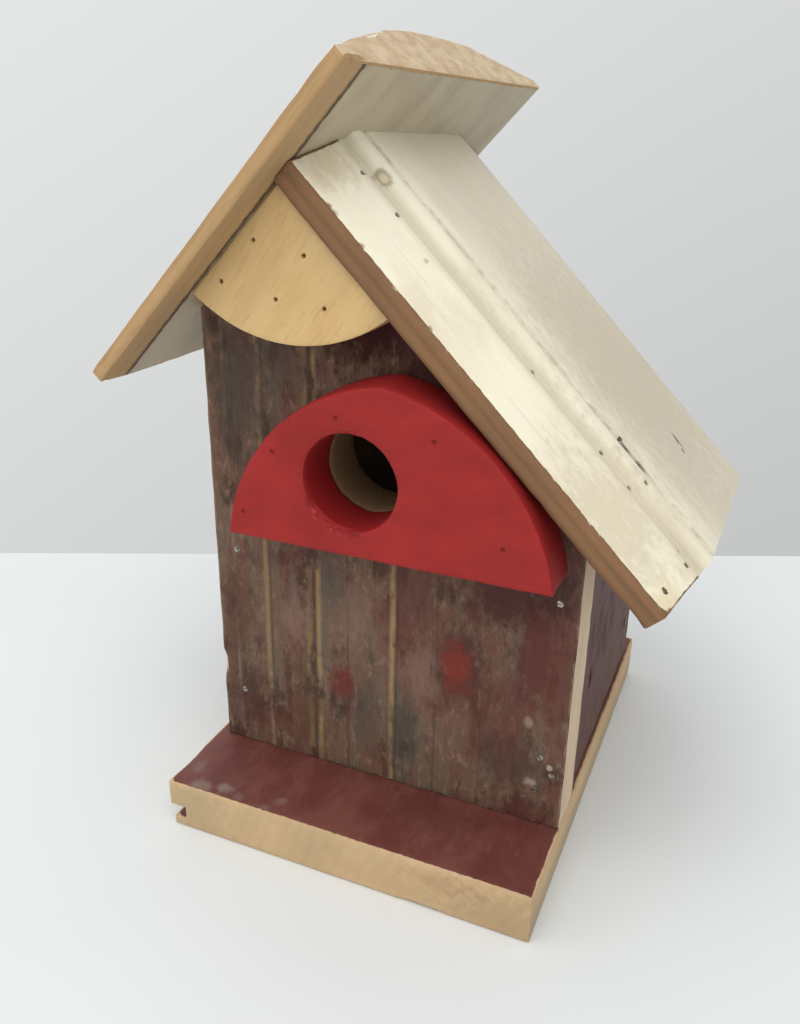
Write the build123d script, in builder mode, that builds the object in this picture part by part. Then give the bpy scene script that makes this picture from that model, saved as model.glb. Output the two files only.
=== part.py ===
from build123d import *
import os
from math import cos, radians, sin, tan

# A small nesting box nailed together from salvaged boards.
# Millimetres. The origin is the middle of the base board's underside, +Z is up and the
# entrance looks along -Y, so +X is on the right of somebody who faces the entrance.

# ---------------------------------------------------------------- driving dimensions
BOARD = 19.0  # ordinary board, planed to three quarters of an inch
THIN_BOARD = 12.7  # half-inch pine of the gable piece

BASE_WIDTH = 140.0
BASE_DEPTH = 178.0
LEDGE = 34.0  # how far the base runs out in front of the house

BODY_LEFT = -65.5  # outer edges of the front panel
BODY_RIGHT = 70.0
BODY_DEPTH = 132.0
WALL_RECESS = 1.5  # side walls stand back from the front panel's edges

RIDGE_X = -27.0  # line where the two roof undersides meet
RIDGE_Z = 230.0
LEFT_SLOPE = 46.5  # degrees
RIGHT_SLOPE = 45.0

# The roof boards are cut from raised panels, whose thickness changes from front to back.
ROOF_BACK = 102.5
LEFT_ROOF_FRONT = -80.5
RIGHT_ROOF_FRONT = -71.5
LEFT_ROOF_BELOW = 88.0  # along the slope, from the ridge line down to the eave
LEFT_ROOF_ABOVE = 42.5  # along the slope, past the ridge line
RIGHT_ROOF_LENGTH = 166.5  # along the front edge
RIGHT_EAVE_SKEW = 8.0  # the eave cut is this much longer at the back
RIGHT_FRONT_TOP = 8.6  # thickness at the front edge
BEVEL_TOP_Y = -51.0  # the right board's front bevel ends here, in a shallow cove and a bead
BEVEL_TOP = 16.0
COVE_WIDTH = 5.0
COVE_SAG = 0.3
BEAD_WIDTH = 10.3
BEAD_CROWN = 0.2  # how far the bead stands above the field
QUIRK = 1.2  # narrow groove between the bead and the field
QUIRK_DEPTH = 1.8
FIELD_FRONT_Y = -34.5
FIELD_BACK_Y = 54.0
FIELD_BACK = 17.0
LEFT_FRONT_TOP = 5.6
ROLL_FRONT_Y = -38.5  # the left board's bevel ends here and rolls over into the field
ROLL_FRONT = 14.5
ROLL_MIDDLE_Y = -11.0
ROLL_MIDDLE = 17.4
ROLL_BACK_Y = 18.0
ROLL_BACK = 17.6
PLAIN_BACK_Y = 46.0
PLAIN_BACK = 16.6
BACK_EDGE = 5.0
NOSE_DEPTH = 2.0
LEFT_RELIEF_DEPTH = 12.5
LEFT_RELIEF_RISE = 0.8
RIGHT_RELIEF = 1.5

ENTRANCE_X = -1.7
ENTRANCE_Z = 143.5
ENTRANCE_DIAMETER = 31.75  # one and a quarter inches, for small hole-nesters

PLAQUE_X = 9.3
PLAQUE_Z = 118.5  # its sawn bottom edge
PLAQUE_LEFT_REACH = 56.0
PLAQUE_RIGHT_REACH = 55.5
PLAQUE_LEFT_SHOULDER = 38.2  # across and up to the middle of each shoulder
PLAQUE_RIGHT_SHOULDER = 37.2  # flatter, because the right roof board is close above it
PLAQUE_HEIGHT = 57.0
PLAQUE_PEAK_SHIFT = -0.5

GABLE_ARC_X = -24.0
GABLE_ARC_Z = 236.4
GABLE_ARC_RADIUS = 53.5

DOOR_SIDE_GAP = 1.0
DOOR_BOTTOM_GAP = 1.5
DOOR_TOP_GAP = 2.0
PIVOT_Z = 122.0
LOCK_Z = 39.5
PIVOT_RADIUS = 1.3
PIVOT_CLEARANCE = 0.1
PIVOT_DEPTH = 14.0  # how far a pivot nail reaches into the door

GROOVE_BOTTOM = 3.5  # tongue-and-groove joint left on the base board's edge
GROOVE_TOP = 8.5
GROOVE_DEPTH = 6.5
LOWER_LIP_RECESS = 1.5

# ---------------------------------------------------------------- worked-out positions
FRONT_FACE_Y = LEDGE - BASE_DEPTH / 2
PANEL_BACK_Y = FRONT_FACE_Y + BOARD
BODY_BACK_Y = FRONT_FACE_Y + BODY_DEPTH
DOOR_FRONT_Y = BODY_BACK_Y - BOARD
DOOR_MIDDLE_Y = BODY_BACK_Y - BOARD / 2
FLOOR_Z = BOARD

LEFT_WALL_OUT = BODY_LEFT + WALL_RECESS
LEFT_WALL_IN = LEFT_WALL_OUT + BOARD
RIGHT_WALL_OUT = BODY_RIGHT - WALL_RECESS
RIGHT_WALL_IN = RIGHT_WALL_OUT - BOARD

LEFT_RISE = tan(radians(LEFT_SLOPE))
RIGHT_RISE = tan(radians(RIGHT_SLOPE))


def under_left(x, gap=0.0):
    """Height of the left roof board's underside at x, less a gap square to the slope."""
    return RIDGE_Z + (x - RIDGE_X) * LEFT_RISE - gap / cos(radians(LEFT_SLOPE))


def under_right(x, gap=0.0):
    """Height of the right roof board's underside at x, less a gap square to the slope."""
    return RIDGE_Z - (x - RIDGE_X) * RIGHT_RISE - gap / cos(radians(RIGHT_SLOPE))


# Planes that the parts are drawn on.  In the two roof planes local x runs from front to
# back, local y is square to the slope and the normal runs along the slope.
FRONT_PLANE = Plane(origin=(0, FRONT_FACE_Y, 0), x_dir=(1, 0, 0), z_dir=(0, -1, 0))
LEFT_UP = (cos(radians(LEFT_SLOPE)), 0, sin(radians(LEFT_SLOPE)))
RIGHT_DOWN = (cos(radians(RIGHT_SLOPE)), 0, -sin(radians(RIGHT_SLOPE)))
LEFT_OUTWARD = (-sin(radians(LEFT_SLOPE)), 0, cos(radians(LEFT_SLOPE)))
RIGHT_OUTWARD = (sin(radians(RIGHT_SLOPE)), 0, cos(radians(RIGHT_SLOPE)))
LEFT_ROOF_PLANE = Plane(origin=(RIDGE_X, 0, RIDGE_Z), x_dir=(0, 1, 0), z_dir=LEFT_UP)
RIGHT_ROOF_PLANE = Plane(origin=(RIDGE_X, 0, RIDGE_Z), x_dir=(0, 1, 0), z_dir=RIGHT_DOWN)
# The undersides themselves, seen from outside: local x is along the slope, local y back.
LEFT_DECK = Plane(origin=(RIDGE_X, 0, RIDGE_Z), x_dir=LEFT_UP, z_dir=LEFT_OUTWARD)
RIGHT_DECK = Plane(origin=(RIDGE_X, 0, RIDGE_Z), x_dir=RIGHT_DOWN, z_dir=RIGHT_OUTWARD)

os.makedirs("parts", exist_ok=True)


def save(part, name):
    """Name one finished piece and write it as its own STEP file."""
    part.label = name
    export_step(part, f"parts/{name}.step")


# ---------------------------------------------------------------- nails
WALL_MIDDLES = ((LEFT_WALL_OUT + LEFT_WALL_IN) / 2, (RIGHT_WALL_OUT + RIGHT_WALL_IN) / 2)
PANEL_MIDDLE_Y = FRONT_FACE_Y + BOARD / 2
FLOOR_NAIL_X = 30.0
RIGHT_SIDE = Plane(origin=(RIGHT_WALL_OUT, 0, 0), x_dir=(0, 1, 0), z_dir=(1, 0, 0))
LEFT_SIDE = Plane(origin=(LEFT_WALL_OUT, 0, 0), x_dir=(0, -1, 0), z_dir=(-1, 0, 0))
UNDERSIDE = Plane(origin=(0, 0, 0), x_dir=(1, 0, 0), z_dir=(0, 0, -1))
PLAQUE_FACE = FRONT_PLANE.offset(BOARD)
GABLE_FACE = FRONT_PLANE.offset(THIN_BOARD)
LEFT_ROOF_BEVEL = LEFT_DECK.offset(13.0)  # the left board's surface at two rows of nails
LEFT_ROOF_FIELD = LEFT_DECK.offset(17.0)
RIGHT_ROOF_COVE = RIGHT_DECK.offset(16.8)  # just above the cove of the right board
RIGHT_ROOF_TOP = RIGHT_DECK.offset(BOARD)

FINISH_NAIL = dict(length=45.0, head=1.1)
FLOOR_NAIL = dict(length=45.0, sink=0.6)
ROOF_NAIL = dict(length=42.0, head=1.0, sink=2.0)
SHORT_ROOF_NAIL = dict(length=30.0, head=1.0, sink=1.2)
PLAQUE_BRAD = dict(length=32.0, shank=0.6, head=0.8, sink=1.2)
GABLE_BRAD = dict(length=25.0, shank=0.6, head=0.8, sink=1.5)
PIVOT_NAIL = dict(length=BOARD + PIVOT_DEPTH, shank=PIVOT_RADIUS, head=3.0, sink=-0.8)
LOCK_NAIL = dict(length=16.0)

# Every group of nails is one or more rows.  A row has the plane it is driven into, its
# kind of nail and the local (x, y) of each nail.
NAIL_ROWS = {
    # through the front panel into the front edges of the side walls
    "front_panel_nails": [
        (FRONT_PLANE, FINISH_NAIL, [(-56.5, 42.5), (-56.5, 102.5)]),
        (FRONT_PLANE, FINISH_NAIL, [(63.0, 107.0), (61.0, 47.0), (65.5, 41.0), (60.0, 33.5)]),
    ],
    # up through the base into the walls and the front panel
    "floor_nails": [
        (UNDERSIDE, FLOOR_NAIL, [(x, y) for x in WALL_MIDDLES for y in (0, -48.0)]),
        (UNDERSIDE, FLOOR_NAIL, [(x, -PANEL_MIDDLE_Y) for x in (-FLOOR_NAIL_X, FLOOR_NAIL_X)]),
    ],
    # through the plaque into the front panel
    "plaque_brads": [
        (PLAQUE_FACE, PLAQUE_BRAD, [(-6.0, 164.0), (-28.5, 150.0), (-40.5, 127.5)]),
        (PLAQUE_FACE, PLAQUE_BRAD, [(26.0, 161.0), (48.5, 131.0)]),
    ],
    # through the gable piece into the front panel
    "gable_brads": [
        (GABLE_FACE, GABLE_BRAD, [(-36.0, 213.5), (-19.0, 210.0)]),
        (GABLE_FACE, GABLE_BRAD, [(-48.0, 200.5), (-29.0, 196.5), (-12.5, 195.0)]),
    ],
    # through the left roof board into the front panel and the left wall
    "left_roof_nails": [
        (LEFT_ROOF_BEVEL, SHORT_ROOF_NAIL, [(x, -46.0) for x in (-42.0, -12.0)]),
        (LEFT_ROOF_FIELD, SHORT_ROOF_NAIL, [(-48.0, y) for y in (-5.0, 30.0)]),
    ],
    # through the right roof board into the front panel and the right wall
    "right_roof_nails": [
        (RIGHT_ROOF_COVE, ROOF_NAIL, [(12.0, -51.5), (28.0, -51.5), (89.0, -48.3)]),
        (RIGHT_ROOF_COVE, ROOF_NAIL, [(134.0, -47.7)]),
        (RIGHT_ROOF_TOP, SHORT_ROOF_NAIL, [(122.0, -34.0)]),
    ],
    # through the left roof board into the upper end of the right one
    "ridge_nails": [
        (LEFT_ROOF_FIELD, ROOF_NAIL, [(8.5, y) for y in (-8.0, 30.0)]),
    ],
    # through the side walls into the door, which swings on them
    "door_pivot_nails": [
        (RIGHT_SIDE, PIVOT_NAIL, [(DOOR_MIDDLE_Y, PIVOT_Z)]),
        (LEFT_SIDE, PIVOT_NAIL, [(-DOOR_MIDDLE_Y, PIVOT_Z)]),
    ],
    # drawn back into the right wall, so that the door is free
    "door_lock_nail": [
        (RIGHT_SIDE, LOCK_NAIL, [(DOOR_MIDDLE_Y, LOCK_Z)]),
    ],
}


def nails(plane, spots, length, shank=0.8, head=1.5, sink=0.0, pocket=False):
    """Round wire nails driven straight down into a plane, one at each local (x, y) spot.

    The heads are flush with the plane, sunk below it, or proud of it if sink is negative.
    With pocket=True the shape goes on up to the plane above each sunk head, which makes it
    the hole that the nail and its punch leave in the wood.
    """
    head_thickness = 0.8
    tip_length = 2.5
    tip_radius = 0.1
    downward = (Align.CENTER, Align.CENTER, Align.MAX)
    with BuildPart(plane) as group:
        with Locations(*[(x, y, -sink) for x, y in spots]):
            Cylinder(head, head_thickness, align=downward)
        with Locations(*[(x, y, -sink - head_thickness) for x, y in spots]):
            Cylinder(shank, length - tip_length - head_thickness, align=downward)
        with Locations(*[(x, y, -sink + tip_length - length) for x, y in spots]):
            Cone(tip_radius, shank, tip_length, align=downward)
        if pocket and sink > 0:
            with Locations(*[(x, y, 0) for x, y in spots]):
                Cylinder(head, sink, align=downward)
    return group.part


bores = {}
for group_name, rows in NAIL_ROWS.items():
    driven = [nails(plane, spots, **kind) for plane, kind, spots in rows]
    pockets = [nails(plane, spots, pocket=True, **kind) for plane, kind, spots in rows]
    with BuildPart() as nail_group:
        add(driven)
    save(nail_group.part, group_name)
    with BuildPart() as bore_group:
        add(pockets)
    bores[group_name] = bore_group.part


def drill(*group_names):
    """Cut the holes of the named nail groups out of the part that is being built."""
    for group_name in group_names:
        add(bores[group_name], mode=Mode.SUBTRACT)


# ---------------------------------------------------------------- base board
# A length of tongue-and-groove board whose groove is still there on the left edge.
with BuildPart() as base_board:
    with BuildSketch(Plane.XZ.offset(-BASE_DEPTH / 2)):
        with BuildLine():
            Polyline(
                (BASE_WIDTH / 2, 0),
                (BASE_WIDTH / 2, BOARD),
                (-BASE_WIDTH / 2, BOARD),
                (-BASE_WIDTH / 2, GROOVE_TOP),
                (-BASE_WIDTH / 2 + GROOVE_DEPTH, GROOVE_TOP),
                (-BASE_WIDTH / 2 + GROOVE_DEPTH, GROOVE_BOTTOM),
                (-BASE_WIDTH / 2 + LOWER_LIP_RECESS, GROOVE_BOTTOM),
                (-BASE_WIDTH / 2 + LOWER_LIP_RECESS, 0),
                close=True,
            )
        make_face()
    extrude(amount=BASE_DEPTH)
    chamfer(base_board.edges().filter_by(Axis.Y).group_by(Axis.Z)[-1], length=0.6)
    drill("floor_nails")
save(base_board.part, "base_board")


# ---------------------------------------------------------------- walls
def gable_outline(left, right, bottom, gap=0.0):
    """Corners of a board that fills the space under both roof boards, less a gap."""
    left_drop = gap / cos(radians(LEFT_SLOPE))
    right_drop = gap / cos(radians(RIGHT_SLOPE))
    peak_x = RIDGE_X + (left_drop - right_drop) / (LEFT_RISE + RIGHT_RISE)
    return [
        (left, bottom),
        (right, bottom),
        (right, under_right(right, gap)),
        (peak_x, under_left(peak_x, gap)),
        (left, under_left(left, gap)),
    ]


with BuildPart() as front_panel:
    with BuildSketch(Plane.XZ.offset(-PANEL_BACK_Y)):
        with BuildLine():
            Polyline(*gable_outline(BODY_LEFT, BODY_RIGHT, FLOOR_Z), close=True)
        make_face()
    extrude(amount=BOARD)
    with Locations(FRONT_PLANE.location * Pos(ENTRANCE_X, ENTRANCE_Z)):
        Hole(ENTRANCE_DIAMETER / 2, BOARD)
    drill("front_panel_nails", "floor_nails", "plaque_brads", "gable_brads")
    drill("left_roof_nails", "right_roof_nails")
save(front_panel.part, "front_panel")


def side_wall(outer, inner, roof_height, nail_groups):
    """A side wall whose top edge is sawn to the slope of the roof board above it."""
    with BuildPart() as wall:
        with BuildSketch(Plane.XZ.offset(-BODY_BACK_Y)):
            with BuildLine():
                Polyline(
                    (outer, FLOOR_Z),
                    (inner, FLOOR_Z),
                    (inner, roof_height(inner)),
                    (outer, roof_height(outer)),
                    close=True,
                )
            make_face()
        extrude(amount=BODY_BACK_Y - PANEL_BACK_Y)
        drill("front_panel_nails", "floor_nails", "door_pivot_nails", *nail_groups)
    return wall.part


left_wall = side_wall(LEFT_WALL_OUT, LEFT_WALL_IN, under_left, ["left_roof_nails"])
save(left_wall, "left_side_wall")

right_wall = side_wall(
    RIGHT_WALL_OUT, RIGHT_WALL_IN, under_right, ["right_roof_nails", "door_lock_nail"]
)
save(right_wall, "right_side_wall")

# ---------------------------------------------------------------- clean-out door
# It closes the whole back, between the side walls and under both roof boards, and swings
# on the two pivot nails: its foot goes out while its peak goes in.
with BuildPart() as clean_out_door:
    with BuildSketch(Plane.XZ.offset(-BODY_BACK_Y)):
        with BuildLine():
            Polyline(
                *gable_outline(
                    LEFT_WALL_IN + DOOR_SIDE_GAP,
                    RIGHT_WALL_IN - DOOR_SIDE_GAP,
                    FLOOR_Z + DOOR_BOTTOM_GAP,
                    DOOR_TOP_GAP,
                ),
                close=True,
            )
        make_face()
    extrude(amount=BOARD)
    for side, across in ((RIGHT_SIDE, DOOR_MIDDLE_Y), (LEFT_SIDE, -DOOR_MIDDLE_Y)):
        with Locations(side.location * Pos(across, PIVOT_Z)):
            Hole(PIVOT_RADIUS + PIVOT_CLEARANCE, BOARD + PIVOT_DEPTH + 2)
save(clean_out_door.part, "clean_out_door")


# ---------------------------------------------------------------- roof boards
def roof_board(plane, low, high, front, front_top, relief_depth, relief_rise, moulded):
    """A run of raised panel along one roof slope, from low to high along the slope.

    In the section local x runs from front to back and local y is the thickness.  The
    front edge was ripped through the bevel; the relief is a shaving off its underside.
    A moulded run has a cove and a bead between the bevel and the field; the other has a
    longer bevel that rolls over into the field.
    """
    nose_top = (ROOF_BACK - NOSE_DEPTH, BACK_EDGE)
    nose_bottom = (ROOF_BACK - NOSE_DEPTH / 2, 0)
    with BuildPart() as board:
        with BuildSketch(plane.offset(low)):
            with BuildLine():
                Polyline((front + relief_depth, 0), (front, relief_rise), (front, front_top))
                if moulded:
                    Line((front, front_top), (BEVEL_TOP_Y, BEVEL_TOP))
                    cove = ThreePointArc(
                        (BEVEL_TOP_Y, BEVEL_TOP),
                        (BEVEL_TOP_Y + COVE_WIDTH / 2, BEVEL_TOP - COVE_SAG),
                        (BEVEL_TOP_Y + COVE_WIDTH, BEVEL_TOP + COVE_SAG),
                    )
                    bead = ThreePointArc(
                        cove @ 1,
                        (BEVEL_TOP_Y + COVE_WIDTH + BEAD_WIDTH * 0.45, BOARD + BEAD_CROWN),
                        (BEVEL_TOP_Y + COVE_WIDTH + BEAD_WIDTH, BOARD - 1.0),
                    )
                    field = Polyline(
                        bead @ 1,
                        (FIELD_FRONT_Y - QUIRK / 2, BOARD - QUIRK_DEPTH),
                        (FIELD_FRONT_Y, BOARD - 0.2),
                        (FIELD_BACK_Y, FIELD_BACK),
                    )
                else:
                    Line((front, front_top), (ROLL_FRONT_Y, ROLL_FRONT))
                    roll = ThreePointArc(
                        (ROLL_FRONT_Y, ROLL_FRONT),
                        (ROLL_MIDDLE_Y, ROLL_MIDDLE),
                        (ROLL_BACK_Y, ROLL_BACK),
                    )
                    field = Line(roll @ 1, (PLAIN_BACK_Y, PLAIN_BACK))
                Line(field @ 1, nose_top)
                ThreePointArc(nose_top, (ROOF_BACK, BACK_EDGE / 2), nose_bottom)
                Line(nose_bottom, (front + relief_depth, 0))
            make_face()
        extrude(amount=high - low)
    return board.part


left_run = roof_board(LEFT_ROOF_PLANE, -LEFT_ROOF_BELOW, LEFT_ROOF_ABOVE, LEFT_ROOF_FRONT,
                      LEFT_FRONT_TOP, LEFT_RELIEF_DEPTH, LEFT_RELIEF_RISE, moulded=False)
with BuildPart() as left_roof_board:
    add(left_run)
    drill("left_roof_nails", "ridge_nails")
save(left_roof_board.part, "left_roof_board")

# The right board butts against the left one's underside, and its eave cut is out of square.
SAW_OVERRUN = 2.0
right_run = roof_board(RIGHT_ROOF_PLANE, -SAW_OVERRUN,
                       RIGHT_ROOF_LENGTH + RIGHT_EAVE_SKEW + SAW_OVERRUN, RIGHT_ROOF_FRONT,
                       RIGHT_FRONT_TOP, RIGHT_RELIEF, RIGHT_RELIEF, moulded=True)
eave_corner = RIGHT_DECK.from_local_coords((RIGHT_ROOF_LENGTH, RIGHT_ROOF_FRONT, 0))
eave_turn = RIGHT_EAVE_SKEW / (ROOF_BACK - RIGHT_ROOF_FRONT)
eave_normal = RIGHT_DECK.x_dir - RIGHT_DECK.y_dir * eave_turn
with BuildPart() as right_roof_board:
    add(right_run)
    split(bisect_by=Plane(origin=(RIDGE_X, 0, RIDGE_Z), z_dir=LEFT_OUTWARD), keep=Keep.BOTTOM)
    split(bisect_by=Plane(origin=eave_corner, z_dir=eave_normal), keep=Keep.BOTTOM)
    drill("right_roof_nails", "ridge_nails")
save(right_roof_board.part, "right_roof_board")

# ---------------------------------------------------------------- gable piece
# A sector sawn from half-inch pine that fills the point of the gable.
BLANK_HALF_WIDTH = 50.0
BLANK_HEIGHT = 60.0
with BuildPart() as gable_piece:
    with BuildSketch(FRONT_PLANE):
        with BuildLine():
            blank = gable_outline(
                RIDGE_X - BLANK_HALF_WIDTH, RIDGE_X + BLANK_HALF_WIDTH, RIDGE_Z - BLANK_HEIGHT
            )
            Polyline(*blank, close=True)
        make_face()
        with Locations((GABLE_ARC_X, GABLE_ARC_Z)):
            Circle(GABLE_ARC_RADIUS, mode=Mode.INTERSECT)
    extrude(amount=THIN_BOARD)
    drill("gable_brads")
save(gable_piece.part, "gable_piece")

# ---------------------------------------------------------------- entrance plaque
# A rough half disc, sawn by eye, with the entrance bored through it and the front panel.
plaque_left = (PLAQUE_X - PLAQUE_LEFT_REACH, PLAQUE_Z)
plaque_right = (PLAQUE_X + PLAQUE_RIGHT_REACH, PLAQUE_Z)
plaque_top = (PLAQUE_X + PLAQUE_PEAK_SHIFT, PLAQUE_Z + PLAQUE_HEIGHT)
left_shoulder = (PLAQUE_X - PLAQUE_LEFT_SHOULDER, PLAQUE_Z + PLAQUE_LEFT_SHOULDER)
right_shoulder = (PLAQUE_X + PLAQUE_RIGHT_SHOULDER, PLAQUE_Z + PLAQUE_RIGHT_SHOULDER)
with BuildPart() as entrance_plaque:
    with BuildSketch(FRONT_PLANE):
        with BuildLine():
            ThreePointArc(plaque_right, right_shoulder, plaque_top)
            ThreePointArc(plaque_top, left_shoulder, plaque_left)
            Line(plaque_left, plaque_right)
        make_face()
        with Locations((ENTRANCE_X, ENTRANCE_Z)):
            Circle(ENTRANCE_DIAMETER / 2, mode=Mode.SUBTRACT)
    extrude(amount=BOARD)
    drill("plaque_brads")
save(entrance_plaque.part, "entrance_plaque")
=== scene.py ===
# %% [markdown]
# # A nesting box nailed together from salvaged boards
#
# The box is nine boards and a few dozen nails. Old painted boards were sawn up for it, so
# every face has its own history: weathered red barn siding, cream gloss from a panelled
# door, fresh saw cuts that show pale wood. This lesson makes each board again in Blender
# with a worn, slightly uneven shape, and then gives each one the finish it has.
#
# The boards could be plain boxes with a picture stuck on them. They are shaped and finished
# by rules instead, so the grain runs through the wood and shows correctly on sawn ends.

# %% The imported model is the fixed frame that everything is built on
import math

import bmesh
import bpy
from mathutils import Matrix, Vector, kdtree, noise


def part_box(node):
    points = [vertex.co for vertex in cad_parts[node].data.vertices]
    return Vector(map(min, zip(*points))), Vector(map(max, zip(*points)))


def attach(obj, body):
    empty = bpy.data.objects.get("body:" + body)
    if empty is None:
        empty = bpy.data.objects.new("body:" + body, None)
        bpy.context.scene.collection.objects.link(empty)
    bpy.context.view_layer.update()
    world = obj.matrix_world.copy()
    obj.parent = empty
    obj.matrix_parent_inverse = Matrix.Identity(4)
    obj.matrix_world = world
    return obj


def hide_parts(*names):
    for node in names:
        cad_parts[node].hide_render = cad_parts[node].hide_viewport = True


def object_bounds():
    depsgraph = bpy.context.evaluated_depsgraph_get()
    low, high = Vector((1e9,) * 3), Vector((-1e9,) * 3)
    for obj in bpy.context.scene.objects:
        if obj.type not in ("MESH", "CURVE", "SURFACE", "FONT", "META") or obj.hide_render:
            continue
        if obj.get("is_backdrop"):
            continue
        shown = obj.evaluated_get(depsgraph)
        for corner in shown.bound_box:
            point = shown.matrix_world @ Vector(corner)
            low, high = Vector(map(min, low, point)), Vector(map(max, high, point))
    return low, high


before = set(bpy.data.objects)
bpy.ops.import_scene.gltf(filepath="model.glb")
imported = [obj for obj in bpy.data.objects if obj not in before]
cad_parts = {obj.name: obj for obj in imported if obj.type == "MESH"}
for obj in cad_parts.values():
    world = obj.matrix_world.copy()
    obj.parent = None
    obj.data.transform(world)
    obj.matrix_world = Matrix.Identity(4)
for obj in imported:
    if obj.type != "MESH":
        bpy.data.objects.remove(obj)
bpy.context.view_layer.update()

# %% [markdown]
# ## Where things are
#
# All drawing is done in millimetres, in the plane of one board, and moved into place at the
# end. Most boards are sawn from an outline seen from the front: a runs to the right, b runs
# up and c comes out of the front panel towards the viewer. The two roof boards are a moulded
# section instead, pushed along the slope: a runs from front to back, b is the thickness and
# c runs along the slope. The sizes come from the frame's own boxes where a box says them.


# %% Sizes and places
def box_mm(node):
    """Lowest and highest corner of a CAD node, in millimetres."""
    low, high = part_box(node)
    return low * 1000, high * 1000


PANEL_LOW, PANEL_HIGH = box_mm("front_panel")
BASE_LOW, BASE_HIGH = box_mm("base_board")
DOOR_LOW, DOOR_HIGH = box_mm("clean_out_door")
LEFT_WALL_LOW, LEFT_WALL_HIGH = box_mm("left_side_wall")
RIGHT_WALL_LOW, RIGHT_WALL_HIGH = box_mm("right_side_wall")
PLAQUE_LOW, PLAQUE_HIGH = box_mm("entrance_plaque")
GABLE_LOW, GABLE_HIGH = box_mm("gable_piece")

RIDGE_X, RIDGE_Z = -27.0, PANEL_HIGH.z
LEFT_SLOPE, RIGHT_SLOPE = math.radians(46.5), math.radians(45.0)
ENTRANCE_X, ENTRANCE_Z, ENTRANCE_RADIUS = -1.7, 143.5, 15.875
FRONT_Y = PANEL_LOW.y
BOARD, THIN_BOARD = 19.0, 12.7  # thickness of an ordinary board and of the gable piece
DOOR_TOP_GAP = 2.0

TO_METRES = Matrix.Scale(0.001, 4)
FRONT_PLACE = TO_METRES @ Matrix(((1, 0, 0, 0), (0, 0, -1, FRONT_Y), (0, 1, 0, 0), (0, 0, 0, 1)))
LEFT_UP = Vector((math.cos(LEFT_SLOPE), 0, math.sin(LEFT_SLOPE)))
LEFT_OUT = Vector((-math.sin(LEFT_SLOPE), 0, math.cos(LEFT_SLOPE)))
RIGHT_DOWN = Vector((math.cos(RIGHT_SLOPE), 0, -math.sin(RIGHT_SLOPE)))
RIGHT_OUT = Vector((math.sin(RIGHT_SLOPE), 0, math.cos(RIGHT_SLOPE)))


def roof_place(outward, along):
    """Moves a roof section's a, b and c to front-to-back, outward and along the slope."""
    rows = [(0, outward.x, along.x, RIDGE_X), (1, 0, 0, 0), (0, outward.z, along.z, RIDGE_Z)]
    return TO_METRES @ Matrix((*rows, (0, 0, 0, 1)))


def under_left(x):
    """Height of the left roof board's underside above the origin, at x."""
    return RIDGE_Z + (x - RIDGE_X) * math.tan(LEFT_SLOPE)


def under_right(x):
    """Height of the right roof board's underside above the origin, at x."""
    return RIDGE_Z - (x - RIDGE_X) * math.tan(RIGHT_SLOPE)


print("front panel", [round(v, 1) for v in PANEL_HIGH - PANEL_LOW], "mm")

# %% [markdown]
# ## Sawing a board
#
# A board starts as an outline. Straight runs go from corner to corner, and a curved run is
# one vertex spun about a centre. The outline is filled, given a narrow margin by an inset,
# and extruded to the board's thickness. The margin matters later: it puts a row of vertices
# just inside every edge, where wear is measured.


# %% Draw an outline and fill it
def draw_outline(bm, start, moves):
    """Corners are (a, b); a curve is (centre a, centre b, degrees, steps)."""
    first = last = bm.verts.new((*start, 0))
    for move in moves:
        if len(move) == 2:
            corner = bm.verts.new((*move, 0))
            bm.edges.new((last, corner))
            last = corner
        else:
            a, b, degrees, steps = move
            spun = bmesh.ops.spin(bm, geom=[last], cent=(a, b, 0), axis=(0, 0, 1),
                                  angle=math.radians(degrees), steps=steps)
            last = [g for g in spun["geom_last"] if isinstance(g, bmesh.types.BMVert)][0]
    bm.edges.new((last, first))


def saw_board(start, moves, low, high, margin=2.0, hole=None):
    """A board from c = low to c = high, with an optional round hole (a, b, radius)."""
    bm = bmesh.new()
    draw_outline(bm, start, moves)
    if hole:
        a, b, radius = hole
        bmesh.ops.create_circle(bm, segments=64, radius=radius,
                                matrix=Matrix.Translation((a, b, 0)))
    bmesh.ops.triangle_fill(bm, edges=bm.edges[:], use_beauty=True)
    bmesh.ops.inset_region(bm, faces=bm.faces[:], thickness=margin, use_even_offset=True)
    grown = bmesh.ops.extrude_face_region(bm, geom=bm.faces[:], use_keep_orig=True)
    far_side = [g for g in grown["geom"] if isinstance(g, bmesh.types.BMVert)]
    bmesh.ops.translate(bm, verts=far_side, vec=(0, 0, high - low))
    bmesh.ops.translate(bm, verts=bm.verts[:], vec=(0, 0, low))
    bmesh.ops.recalc_face_normals(bm, faces=bm.faces[:])
    return bm


# %% [markdown]
# ## Making it old
#
# A new board has crisp arrises, the corners where two faces meet. Years of handling round
# them and knock bits off. The arrises are bevelled, the whole board is cut into a fine net
# by parallel planes, and then every vertex on an arris sinks in a little, by an amount that
# wanders along the edge. Seeded noise gives the wander, so the wear is the same every time.


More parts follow.
